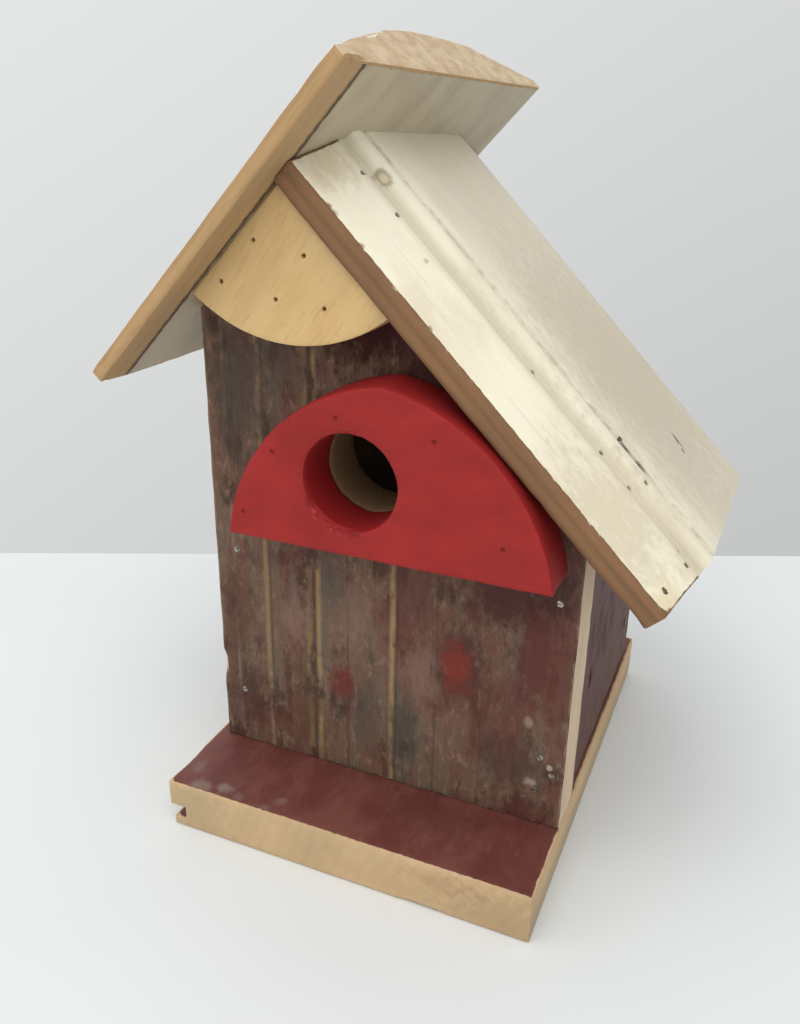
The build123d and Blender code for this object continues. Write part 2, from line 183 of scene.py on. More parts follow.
# %% Wear the arrises
def wear(bm, arris=0.7, pitch=4.0, depth=0.5, seed=0.0, rough=(), moulding=None):
    """Bevel the arrises, cut a net of this pitch and sink the arrises unevenly.

    rough lists places ((a, b, c), reach, extra depth) where more was knocked off. Edges
    that lie between two values of a, the moulding, are no arrises and keep their shape.
    """
    worn = bm.faces.layers.int.new("worn")
    distance = bm.verts.layers.float.new("rim")
    bm.normal_update()
    sharp = [e for e in bm.edges if e.is_manifold and e.calc_face_angle() > math.radians(25)]
    if moulding:
        sharp = [e for e in sharp if not all(moulding[0] < v.co.x < moulding[1] for v in e.verts)]
    bevelled = bmesh.ops.bevel(bm, geom=sharp, offset=arris, offset_type="OFFSET", segments=2,
                               profile=0.5, affect="EDGES", material=-1, clamp_overlap=True)
    for face in bevelled["faces"]:
        face[worn] = 1
    for axis in range(3):
        places = [v.co[axis] for v in bm.verts]
        low, high = min(places), max(places)
        count = max(2, round((high - low) / pitch))
        cuts = [low + (high - low) * i / count for i in range(1, count)]
        cuts += [low + 2.0, high - 2.0]  # keeps the wear close to the arris
        normal = [0, 0, 0]
        normal[axis] = 1
        for place in cuts:
            point = [place if i == axis else 0 for i in range(3)]
            bmesh.ops.bisect_plane(bm, geom=bm.verts[:] + bm.edges[:] + bm.faces[:],
                                   plane_co=point, plane_no=normal, dist=0.01)
    bm.normal_update()
    rim = [v for v in bm.verts if any(f[worn] for f in v.link_faces)]
    for v in rim:
        wander = noise.noise(v.co * 0.11 + Vector((seed, 0, 0)))
        nick = max(0.0, noise.noise(v.co * 0.35 + Vector((0, seed, 0))) - 0.25)
        sink = depth * (0.35 + 0.5 * wander + 1.6 * nick)
        for place, reach, extra in rough:
            sink += extra * max(0.0, 1.0 - (v.co - Vector(place)).length / reach)
        v.co -= v.normal * max(0.0, sink)
    tree = kdtree.KDTree(len(rim))
    for i, v in enumerate(rim):
        tree.insert(v.co, i)
    tree.balance()
    for v in bm.verts:
        v[distance] = min(12.0, tree.find(v.co)[2])


# %% [markdown]
# ## Nail holes, dents and chips
#
# A nail set below the surface leaves a small round hole, and a lost flake of paint or wood
# leaves a shallow one. Both are pressed into the net: it is cut finer just there, and the
# vertices sink. How deep a vertex went is kept on the mesh, so that a finish can be darker
# or bare in the hole.


# %% Press dents into a board
def dent(bm, spots, facing, across, depth, along=None, ragged=0.0):
    """Press a dent at each spot, square to `facing`; a long one has a reach `along`, too."""
    pressed = bm.verts.layers.float.get("pressed") or bm.verts.layers.float.new("pressed")
    facing = Vector(facing)
    flat = [i for i in range(3) if abs(facing[i]) < 0.5]
    reaches = dict(zip(flat, (across, along or across)))
    for spot in spots:
        spot = Vector(spot)
        for axis, reach in reaches.items():
            normal = [0, 0, 0]
            normal[axis] = 1
            for share in (-1.5, -1.15, -0.9, -0.5, 0.0, 0.5, 0.9, 1.15, 1.5):  # of the reach
                near = [f for f in bm.faces if f.normal.dot(facing) > 0.5 and all(
                    min(v.co[i] for v in f.verts) - 2 * r < spot[i]
                    and spot[i] < max(v.co[i] for v in f.verts) + 2 * r
                    for i, r in reaches.items())]
                edges = {e for f in near for e in f.edges}
                verts = {v for f in near for v in f.verts}
                point = spot.copy()
                point[axis] += share * reach
                bmesh.ops.bisect_plane(bm, geom=list(verts) + list(edges) + near, dist=0.001,
                                       plane_co=point, plane_no=normal)
        bm.normal_update()
        for v in bm.verts:
            if v.normal.dot(facing) < 0.3:
                continue
            off = math.sqrt(sum(((v.co[i] - spot[i]) / r) ** 2 for i, r in reaches.items()))
            if off < 1.6:
                off += ragged * noise.noise(v.co * 1.7)
                share = min(1.0, max(0.0, (1.35 - off) / 0.45))
                v[pressed] = max(v[pressed], share)
                v.co -= facing * depth * share


# %% [markdown]
# ## From a net to a piece
#
# The finished net is moved into place in metres, shaded smooth except across real corners,
# and hung on the body it moves with; the CAD node it stands for is hidden, and the piece is kept
# under its name.

# %% Turn a net into a piece of the model
pieces = {}


def make_piece(bm, name, place, body, node):
    bm.transform(place)
    bmesh.ops.recalc_face_normals(bm, faces=bm.faces[:])
    mesh = bpy.data.meshes.new(name)
    bm.to_mesh(mesh)
    bm.free()
    mesh.polygons.foreach_set("use_smooth", [True] * len(mesh.polygons))
    mesh.set_sharp_from_angle(angle=math.radians(22))
    piece = bpy.data.objects.new(name, mesh)
    bpy.context.scene.collection.objects.link(piece)
    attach(piece, body)
    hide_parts(node)
    pieces[node] = piece
    print(name, len(mesh.polygons), "faces")


# %% [markdown]
# ## The base
#
# It is a length of tongue-and-groove board, with the groove still on its left edge. The
# outline is the board's end, seen from the front, and the extrusion runs front to back.

# %% Base board
left, right, top = BASE_LOW.x, BASE_HIGH.x, BASE_HIGH.z
base = saw_board(
    (left + 1.5, 0.0),
    [(right, 0.0), (right, top), (left, top), (left, 8.5), (left + 6.5, 8.5),
     (left + 6.5, 3.5), (left + 1.5, 3.5)],
    FRONT_Y - BASE_HIGH.y, FRONT_Y - BASE_LOW.y, margin=0.8,
)
wear(base, arris=0.5, depth=0.2, seed=3.0,
     rough=[((32.0, 0.0, 34.0), 9.0, 1.0), ((left, top, 20.0), 12.0, 0.6)])
make_piece(base, "base_board_worn", FRONT_PLACE, "house", "base_board")

# %% [markdown]
# ## The front panel
#
# One wide board reaches from the base to the ridge and carries the entrance. Its nail heads
# lie in shallow dents, and its left edge has a chip above the lower nail.

# %% Front panel
left, right, foot = PANEL_LOW.x, PANEL_HIGH.x, PANEL_LOW.z
panel = saw_board(
    (left, foot),
    [(right, foot), (right, under_right(right)), (RIDGE_X, RIDGE_Z), (left, under_left(left))],
    -BOARD, 0.0, hole=(ENTRANCE_X, ENTRANCE_Z, ENTRANCE_RADIUS),
)
wear(panel, arris=0.6, depth=0.5, seed=7.0, rough=[((left, 53.0, 0.0), 6.0, 1.6)])
FRONT_NAILS = [(-56.5, 42.5), (-56.5, 102.5), (63.0, 107.0), (61.0, 47.0), (65.5, 41.0),
               (60.0, 33.5)]
dent(panel, [(*nail, 0) for nail in FRONT_NAILS], (0, 0, 1), across=1.0, depth=0.15)
make_piece(panel, "front_panel_worn", FRONT_PLACE, "house", "front_panel")

# %% [markdown]
# ## The side walls and the door
#
# The walls stand behind the front panel, and their top edges are sawn to the slope of the
# roof. The door fills the back between them. All three are plain boards with worn arrises.

# %% Side walls and clean-out door
for low, high, under, name, seed in (
    (LEFT_WALL_LOW, LEFT_WALL_HIGH, under_left, "left_side_wall", 11.0),
    (RIGHT_WALL_LOW, RIGHT_WALL_HIGH, under_right, "right_side_wall", 13.0),
):
    wall = saw_board(
        (low.x, low.z), [(high.x, low.z), (high.x, under(high.x)), (low.x, under(low.x))],
        FRONT_Y - high.y, FRONT_Y - low.y,
    )
    outside = low.x if name == "left_side_wall" else high.x
    wear(wall, arris=0.6, depth=0.45, seed=seed, rough=[((outside, 20.0, -100.0), 14.0, 0.8)])
    facing = (-1, 0, 0) if name == "left_side_wall" else (1, 0, 0)
    if name == "right_side_wall":
        dent(wall, [(outside, 57.0, -40.5)], facing, across=3.6, along=1.5, depth=1.2, ragged=0.6)
        dent(wall, [(outside, 41.0, -118.0)], facing, across=1.6, along=2.6, depth=0.8, ragged=0.6)
        dent(wall, [(outside, 39.5, FRONT_Y - 67.5)], facing, across=1.7, depth=0.35)
    make_piece(wall, name + "_worn", FRONT_PLACE, "house", name)

left, right, foot = DOOR_LOW.x, DOOR_HIGH.x, DOOR_LOW.z
left_drop = DOOR_TOP_GAP / math.cos(LEFT_SLOPE)
right_drop = DOOR_TOP_GAP / math.cos(RIGHT_SLOPE)
door = saw_board(
    (left, foot),
    [(right, foot), (right, under_right(right) - right_drop),
     (RIDGE_X, DOOR_HIGH.z), (left, under_left(left) - left_drop)],
    FRONT_Y - DOOR_HIGH.y, FRONT_Y - DOOR_LOW.y,
)
wear(door, arris=0.8, depth=0.5, seed=17.0)
make_piece(door, "clean_out_door_worn", FRONT_PLACE, "door", "clean_out_door")

# %% [markdown]
# ## The roof boards
#
# Both were cut from raised panels, the kind in an old door, so they are thick in the middle
# and thin at the edges. The right one has a moulding: a long bevel, a shallow cove, a bead and
# then the flat field. The left one just swells gently. The outline is the section of the
# board, and the extrusion runs along the slope. The right board is then cut twice with a
# plane, where it butts against the left board and at its eave, which is not quite square.


# %% Roof boards
def roof_board(front, low, high):
    """A length of the panel; its back edge is the same on both boards."""
    back = [(102.5 - 1.0, 0.0), (102.5, 1.2), (102.5, 3.4), (100.5, 5.0)]
    return saw_board(front[0], back + front[1:], low, high, margin=0.3)


def cut_off(bm, point, normal):
    """Saw the board through a plane and drop what lies on the normal's side."""
    cut = bmesh.ops.bisect_plane(bm, geom=bm.verts[:] + bm.edges[:] + bm.faces[:],
                                 plane_co=point, plane_no=normal, clear_outer=True)
    edges = [g for g in cut["geom_cut"] if isinstance(g, bmesh.types.BMEdge)]
    bmesh.ops.triangle_fill(bm, edges=edges, use_beauty=True)
    bmesh.ops.recalc_face_normals(bm, faces=bm.faces[:])


PLAIN_FRONT = [(-68.0, 0.0), (46.0, 16.6), (32.0, 17.2), (18.0, 17.6), (4.0, 17.7), (-11.0, 17.4),
               (-25.0, 16.2), (-38.5, 14.5), (-80.5, 5.6), (-80.5, 0.8)]
left_roof = roof_board(PLAIN_FRONT, -88.0, 42.5)
wear(left_roof, arris=0.6, depth=0.3, seed=23.0, moulding=(-60.0, 90.0),
     rough=[((-76.0, 2.0, 42.5), 9.0, 0.9)])
dent(left_roof, [(-46.0, 13.0, s) for s in (-42.0, -12.0)]
     + [(-5.0, 17.4, -48.0), (30.0, 17.2, -48.0), (-8.0, 17.4, 8.5), (30.0, 17.2, 8.5)],
     (0, 1, 0), across=0.6, depth=1.0)
dent(left_roof, [(-20.0, 16.6, -66.0), (12.0, 17.6, 24.0)], (0, 1, 0), across=0.7, along=1.6,
     depth=0.4, ragged=0.7)
make_piece(left_roof, "left_roof_board_worn", roof_place(LEFT_OUT, LEFT_UP), "house",
           "left_roof_board")

MOULDED_FRONT = [(-70.0, 0.0), (54.0, 17.0), (-34.5, 18.8), (-35.1, 17.2), (-35.7, 18.0),
                 (-37.8, 18.9), (-41.4, 19.2), (-44.3, 18.4), (-46.0, 16.3), (-48.5, 15.7),
                 (-51.0, 16.0), (-71.5, 8.6), (-71.5, 1.5)]
right_roof = roof_board(MOULDED_FRONT, -2.0, 176.5)
local_left_out = Vector((0, LEFT_OUT.dot(RIGHT_OUT), LEFT_OUT.dot(RIGHT_DOWN)))
cut_off(right_roof, (0, 0, 0), local_left_out)
cut_off(right_roof, (-71.5, 0, 166.5), Vector((-8.0 / 174.0, 0, 1)))
wear(right_roof, arris=0.6, depth=0.35, seed=29.0, moulding=(-53.0, 90.0),
     rough=[((-71.5, 0.0, 160.0), 8.0, 0.8)])
dent(right_roof, [(-51.5, 16.0, 12.0), (-51.5, 16.0, 28.0), (-48.3, 15.7, 89.0),
                  (-47.7, 15.8, 134.0), (-34.0, 18.8, 122.0)], (0, 1, 0), across=0.7, depth=0.9,
     ragged=0.3)
dent(right_roof, [(-36.4, 18.0, 119.5), (-35.2, 18.0, 125.5), (-35.2, 18.0, 131.5),
                  (16.0, 17.7, 140.5)], (0, 1, 0), across=0.7, along=3.0, depth=0.5, ragged=0.5)
dent(right_roof, [(-47.3, 16.0, 120.5), (-42.0, 19.2, 136.5), (-49.6, 15.8, 157.6),
                  (-51.5, 16.0, 162.0), (-65.3, 10.8, 161.3), (12.9, 17.8, 144.2)],
     (0, 1, 0), across=0.6, along=0.8, depth=0.5, ragged=0.6)
make_piece(right_roof, "right_roof_board_worn", roof_place(RIGHT_OUT, RIGHT_DOWN), "house",
           "right_roof_board")

# %% [markdown]
# ## The gable piece
#
# A sector of half-inch pine fills the point of the gable. Two straight edges lie under the
# roof boards, and the third is an arc, spun about a point just above the ridge.

# %% Gable piece
arc_x, arc_z, arc_radius = -24.0, 236.4, 53.5


def on_slope(height_at, step):
    """Walk down a slope from the ridge to where it meets the arc."""
    x = RIDGE_X
    while math.hypot(x - arc_x, height_at(x) - arc_z) < arc_radius:
        x += step
    return x, height_at(x)


gable_left, gable_right = on_slope(under_left, -0.02), on_slope(under_right, 0.02)
start_angle = math.atan2(gable_left[1] - arc_z, gable_left[0] - arc_x)
end_angle = math.atan2(gable_right[1] - arc_z, gable_right[0] - arc_x)
sweep = math.degrees((end_angle - start_angle) % (2 * math.pi))
gable = saw_board(
    (RIDGE_X, RIDGE_Z), [gable_left, (arc_x, arc_z, sweep, 26)],
    0.0, GABLE_HIGH.y - GABLE_LOW.y, margin=1.2,
)
wear(gable, arris=0.5, pitch=3.0, depth=0.25, seed=31.0)
GABLE_BRADS = [(-36.0, 213.5), (-19.0, 210.0), (-48.0, 200.5), (-29.0, 196.5), (-12.5, 195.0)]
dent(gable, [(*brad, THIN_BOARD) for brad in GABLE_BRADS], (0, 0, 1), across=0.55, depth=1.0,
     ragged=0.3)
make_piece(gable, "gable_piece_worn", FRONT_PLACE, "house", "gable_piece")

# %% [markdown]
# ## The entrance plaque
#
# A rough half disc was sawn by eye, so each shoulder is its own arc. The entrance is bored
# through it, and the saw or the bit tore the rim a little at the lower left.


# %% Entrance plaque
def arc_about(one, two, three):
    """Centre and turn, in degrees, of the arc from one through two to three."""
    (ax, ay), (bx, by), (cx, cy) = one, two, three
    d = 2 * (ax * (by - cy) + bx * (cy - ay) + cx * (ay - by))
    squares = (ax * ax + ay * ay, bx * bx + by * by, cx * cx + cy * cy)
    x = (squares[0] * (by - cy) + squares[1] * (cy - ay) + squares[2] * (ay - by)) / d
    y = (squares[0] * (cx - bx) + squares[1] * (ax - cx) + squares[2] * (bx - ax)) / d
    turn = math.atan2(cy - y, cx - x) - math.atan2(ay - y, ax - x)
    return x, y, math.degrees(turn % (2 * math.pi))


corner_x, sill = 9.3, PLAQUE_LOW.z
right_end, left_end = (corner_x + 55.5, sill), (corner_x - 56.0, sill)
crown = (corner_x - 0.5, sill + 57.0)
first_arc = arc_about(right_end, (corner_x + 37.2, sill + 37.2), crown)
second_arc = arc_about(crown, (corner_x - 38.2, sill + 38.2), left_end)
plaque = saw_board(
    right_end, [(*first_arc, 22), (*second_arc, 22)], 0.0, BOARD, margin=1.6,
    hole=(ENTRANCE_X, ENTRANCE_Z, ENTRANCE_RADIUS),
)
wear(plaque, arris=0.9, pitch=3.0, depth=0.45, seed=37.0,
     rough=[((ENTRANCE_X - 11.0, ENTRANCE_Z - 11.5, BOARD), 7.0, 1.1),
            ((ENTRANCE_X - 4.0, ENTRANCE_Z - 15.5, BOARD), 5.0, 0.9)])
PLAQUE_BRADS = [(-6.0, 164.0), (-28.5, 150.0), (-40.5, 127.5), (26.0, 161.0), (48.5, 131.0)]
dent(plaque, [(*brad, BOARD) for brad in PLAQUE_BRADS], (0, 0, 1), across=0.6, depth=0.4,
     ragged=0.3)
make_piece(plaque, "entrance_plaque_worn", FRONT_PLACE, "house", "entrance_plaque")

# %% [markdown]
# ## Nodes for finishes
#
# A finish is a network of shader nodes. One function adds a node, sets it up, and links or
# sets its inputs. Colours are written the way a screen shows them and turned to linear.


# %% One function adds a node, another reads a colour
def add(tree, kind, inputs, out=0, **settings):
    """Add a node, set it up, link or set its inputs, and give back one output."""
    made = tree.nodes.new("ShaderNode" + kind)
    for key, value in settings.items():
        setattr(made, key, value)
    for key, value in inputs.items():
        if isinstance(value, bpy.types.NodeSocket):
            tree.links.new(value, made.inputs[key])
        else:
            made.inputs[key].default_value = value
    return made.outputs[out]


def linear(colour):
    """A screen colour such as C8AB7F as linear red, green, blue and alpha."""
    channels = [int(colour[i:i + 2], 16) / 255 for i in (0, 2, 4)]
    return (*[c / 12.92 if c <= 0.04045 else ((c + 0.055) / 1.055) ** 2.4 for c in channels], 1)


def new_finish(name):
    material = bpy.data.materials.new(name)
    material.use_nodes = True
    material.node_tree.nodes.clear()
    return material, material.node_tree


def close_finish(tree, colour, roughness, height, depth_mm, specular=0.5, metallic=0.0):
    """Join colour, roughness and relief to the shader, with the relief in millimetres."""
    relief = add(tree, "Bump", {"Height": height, "Distance": depth_mm / 1000, "Strength": 1.0})
    surface = add(tree, "BsdfPrincipled", {
        "Base Color": colour, "Roughness": roughness, "Normal": relief,
        "Specular IOR Level": specular, "Metallic": metallic})
    output = tree.nodes.new("ShaderNodeOutputMaterial")
    tree.links.new(surface, output.inputs["Surface"])


# %% [markdown]
# ## Wood
#
# A tree grows a ring each year, so wood is a solid pattern: nested tubes round the pith,
# which lies well outside a thin board. Reading that pattern from the board's own place
# gives long streaks on the faces and curved rings on sawn ends, both in the right place.
# The grain's direction and the pith's place are all that differ from board to board. Pine
# that has been handled for years shows its rings only faintly, so they are kept weak.


# %% A solid pattern of growth rings and fibres
def grain_space(tree, along, pith):
    """Millimetres, turned so that Z runs along the grain, measured from the pith."""
    turn = Vector(along).to_track_quat("Z", "Y").inverted()
    place = add(tree, "TexCoord", {}, out="Object")
    return add(tree, "Mapping", {
        "Vector": place, "Location": -(turn @ Vector(pith)), "Rotation": turn.to_euler(),
        "Scale": (1000, 1000, 1000)})


def plain_space(tree):
    """The object's own place in millimetres, unturned."""
    place = add(tree, "TexCoord", {}, out="Object")
    return add(tree, "VectorMath", {0: place, "Scale": 1000.0}, operation="SCALE")


def stretched_noise(tree, space, size, detail=3.0, rough=0.55):
    """Noise whose lumps are about size (x, y, z) millimetres."""
    scaled = add(tree, "VectorMath", {0: space, 1: [1 / s for s in size]}, operation="MULTIPLY")
    return add(tree, "TexNoise", {"Vector": scaled, "Scale": 1.0, "Detail": detail,
                                  "Roughness": rough})


def smooth_step(tree, value, low, high):
    """0 below low, 1 above high and a soft slope between."""
    return add(tree, "MapRange", {"Value": value, "From Min": low, "From Max": high},
               interpolation_type="SMOOTHSTEP")


def wood(tree, space, early, late, ring_mm=2.6, waviness=3.0, contrast=0.4):
    """Colour and relief of bare wood; a ring is ring_mm wide, as in quick-grown pine."""
    slow = add(tree, "VectorMath", {0: space, 1: (1, 1, 0.035)}, operation="MULTIPLY")
    rings = add(tree, "TexWave", {
        "Vector": slow, "Scale": 2 * math.pi / (20 * ring_mm), "Distortion": waviness,
        "Detail": 3.0, "Detail Scale": 0.6, "Detail Roughness": 0.6},
        out="Fac", wave_type="RINGS", rings_direction="Z", wave_profile="SIN")
    late_band = add(tree, "Math", {0: rings, 1: 1.6}, operation="POWER")
    fibres = stretched_noise(tree, space, (0.45, 0.45, 14.0))
    tone = add(tree, "Math", {0: fibres, 1: 0.5, 2: 0.05 - 0.3 * contrast},
               operation="MULTIPLY_ADD")
    share = add(tree, "Math", {0: late_band, 1: contrast, 2: tone}, operation="MULTIPLY_ADD",
                use_clamp=True)
    colour = add(tree, "Mix", {0: share, 6: linear(early), 7: linear(late)}, out=2,
                 data_type="RGBA")
    patches = stretched_noise(tree, space, (16.0, 16.0, 50.0), detail=3.0)
    lighter = add(tree, "MapRange", {"Value": patches, "From Min": 0.3, "From Max": 0.7,
                                     "To Min": 0.90, "To Max": 1.09})
    colour = add(tree, "VectorMath", {0: colour, "Scale": lighter}, operation="SCALE")
    height = add(tree, "Math", {0: late_band, 1: contrast, 2: fibres}, operation="MULTIPLY_ADD")
    return colour, height, fibres


# %% [markdown]
# ## Paint, and where it has gone
#
# Paint was only ever on the faces of these boards, never on fresh saw cuts. A face is
# picked by the way it looks. Near an arris the paint is worn away along a ragged line: the
# distance to the arris was stored on the mesh, and noise makes the line ragged. A stain or
# a bare spot is a ragged patch about a place.


# %% Masks for a face, for worn edges, for dents and for patches
def facing(tree, direction, least=0.8):
    """1 on faces that look along direction, 0 on the others."""
    normal = add(tree, "TexCoord", {}, out="Normal")
    share = add(tree, "VectorMath", {0: normal, 1: Vector(direction).normalized()},
                out="Value", operation="DOT_PRODUCT")
    return smooth_step(tree, share, least - 0.03, least + 0.03)


def kept_from_rim(tree, space, reach, ragged):
    """1 inside a face, falling to 0 along a ragged line about reach mm from its arris."""
    rim = add(tree, "Attribute", {}, out="Fac", attribute_name="rim")
    rags = stretched_noise(tree, space, (2.2, 2.2, 3.5), detail=4.0, rough=0.6)
    line = add(tree, "Math", {0: rags, 1: ragged, 2: -0.5 * ragged}, operation="MULTIPLY_ADD")
    total = add(tree, "Math", {0: rim, 1: line}, operation="ADD")
    return smooth_step(tree, total, reach - 0.12, reach + 0.12)


def pressed(tree):
    """How deep a dent or a nail hole went, from 0 to 1."""
    return add(tree, "Attribute", {}, out="Fac", attribute_name="pressed")


def overlay(tree, share, under, over):
    """Colour `over` lies on `under` by share."""
    return add(tree, "Mix", {0: share, 6: under, 7: over}, out=2, data_type="RGBA")


def times(tree, one, two):
    """Two masks at once."""
    return add(tree, "Math", {0: one, 1: two}, operation="MULTIPLY", use_clamp=True)


def stain(tree, colour, mask, share, shade):
    """Lay a shade on a colour where the mask is, and no more of it than share."""
    return overlay(tree, times(tree, mask, share), colour, linear(shade))


def add_patches(tree, colour, here, space, patches):
    """Lay ragged patches on a colour: (place, radius, (stretch x, y, z), tint, strength)."""
    rags = stretched_noise(tree, space, (3.0, 3.0, 5.0), detail=5.0, rough=0.7)
    for place, radius, stretch, tint, strength in patches:
        shifted = add(tree, "VectorMath", {0: here, 1: place}, operation="SUBTRACT")
        squeezed = add(tree, "VectorMath", {0: shifted, 1: [1 / s for s in stretch]},
                       operation="MULTIPLY")
        away = add(tree, "VectorMath", {0: squeezed}, out="Value", operation="LENGTH")
        edge = add(tree, "Math", {0: rags, 1: radius * 2.4, 2: away}, operation="MULTIPLY_ADD")
        share = add(tree, "MapRange", {"Value": edge, "From Min": radius * 1.6,
                                       "From Max": radius * 2.3, "To Min": strength,
                                       "To Max": 0.0})
        colour = overlay(tree, share, colour, linear(tint))
    return colour


# %% [markdown]
# ## Weathered barn siding
#
# The front panel, the side walls and the door were once painted barn red. Sun and rain took
# most of the paint: brown and grey wood shows through in streaks along the grain, flat red
# is left in a few patches, and tan lines mark where the wood between two beads wore bare.
# Saw cuts show pale tan wood, and a painted shadow darkens the foot of each board at the base.


# %% Weathered barn board
def barn_board(name, face, marks=(), streaks=(), red=0.45, lightness=1.0, pith=(120, 30, 0),
               shaded_bore=None, foot_shadow_to=3.0):
    material, tree = new_finish(name)
    space = grain_space(tree, (0, 0, 1), pith)
    here = plain_space(tree)
    sawn, sawn_height, fibres = wood(tree, space, "D8C2A8", "BFA283", contrast=0.3)
    # Painted shade: the sawn wood inside the entrance bore is darkened to 8A7152, standing in for
    # the shade inside the hole.
    if shaded_bore:
        from_axis = add(tree, "VectorMath", {0: here, 1: shaded_bore}, operation="SUBTRACT")
        from_axis = add(tree, "VectorMath", {0: from_axis, 1: (1, 0, 1)}, operation="MULTIPLY")
        from_axis = add(tree, "VectorMath", {0: from_axis}, out="Value", operation="LENGTH")
        sawn = overlay(tree, smooth_step(tree, from_axis, 18.5, 17.5), sawn, linear("8A7152"))

    streaky = stretched_noise(tree, space, (4.5, 4.5, 60.0), detail=4.0, rough=0.6)
    grey_share = times(tree, smooth_step(tree, streaky, 0.42, 0.64), 0.8)
    colour = overlay(tree, grey_share, linear("6B4E3F"), linear("655A4B"))
    mottle = stretched_noise(tree, space, (8.0, 8.0, 18.0), detail=6.0, rough=0.7)
    colour = stain(tree, colour, smooth_step(tree, mottle, 0.48, 0.64), 0.85, "3F2D23")
    washed = stretched_noise(tree, space, (2.6, 2.6, 5.5), detail=6.0, rough=0.75)
    wash_share = times(tree, smooth_step(tree, washed, 0.50, 0.66), 0.5)
    colour = overlay(tree, wash_share, colour, linear("907464"))

    blotch = stretched_noise(tree, space, (16.0, 16.0, 30.0), detail=6.0, rough=0.66)
    sideways = add(tree, "SeparateXYZ", {0: here})
    bias = add(tree, "MapRange", {"Value": sideways, "From Min": -70.0, "From Max": 70.0,
                                  "To Min": -0.05, "To Max": 0.08})
    red_field = add(tree, "Math", {0: blotch, 1: bias}, operation="ADD")
    red_share = times(tree, smooth_step(tree, red_field, 0.48, 0.62), red * 1.3)
    colour = overlay(tree, red_share, colour, linear("5A2A23"))

    for x, width, strength, tint in streaks:
        offset = add(tree, "Math", {0: sideways, 1: -x}, operation="ADD")
        drift = add(tree, "Math", {0: streaky, 1: 1.6, 2: offset}, operation="MULTIPLY_ADD")
        away = add(tree, "Math", {0: drift, 1: 0.8}, operation="SUBTRACT")
        away = add(tree, "Math", {0: away}, operation="ABSOLUTE")
        line = add(tree, "MapRange", {"Value": away, "From Min": width * 0.3, "From Max": width,
                                      "To Min": strength, "To Max": 0.0})
        broken = times(tree, line, smooth_step(tree, mottle, 0.66, 0.46))
        colour = overlay(tree, broken, colour, linear(tint))
    colour = add_patches(tree, colour, here, space, marks)

    dark_lines = smooth_step(tree, fibres, 0.30, 0.50)
    shade = add(tree, "MapRange", {"Value": dark_lines, "To Min": 0.86 * lightness,
                                   "To Max": 1.02 * lightness})
    colour = add(tree, "VectorMath", {0: colour, "Scale": shade}, operation="SCALE")
    rubbed = times(tree, smooth_step(tree, mottle, 0.62, 0.42), 0.75)
    edge = overlay(tree, rubbed, colour, linear("86705C"))
    colour = overlay(tree, kept_from_rim(tree, space, 0.35, 1.6), edge, colour)
    # Painted shadow: near-black 231713 darkens the foot of each board towards its joint with the
    # base, standing in for the shade in that gap.
    height_here = add(tree, "SeparateXYZ", {0: here}, out="Z")
    foot_shadow = add(tree, "Math", {0: mottle, 1: 5.0, 2: height_here}, operation="MULTIPLY_ADD")
    foot_shadow = times(tree, smooth_step(tree, foot_shadow, 21.5 + foot_shadow_to, 21.5), 0.75)
    colour = overlay(tree, foot_shadow, colour, linear("231713"))

    holes = pressed(tree)
    in_hole = smooth_step(tree, holes, 0.0, 0.05)
    old_face = add(tree, "Math", {0: facing(tree, face), 1: in_hole}, operation="MAXIMUM")
    colour = overlay(tree, old_face, sawn, colour)
    colour = stain(tree, colour, holes, 0.8, "241814")
    gloss = add(tree, "MapRange", {"Value": red_share, "To Min": 0.78, "To Max": 0.55})
    weathered = add(tree, "Math", {0: fibres, 1: streaky}, operation="ADD")
    height = add(tree, "Mix", {0: old_face, 2: sawn_height, 3: weathered})
    close_finish(tree, colour, gloss, height, 0.15, specular=0.3)
    return material


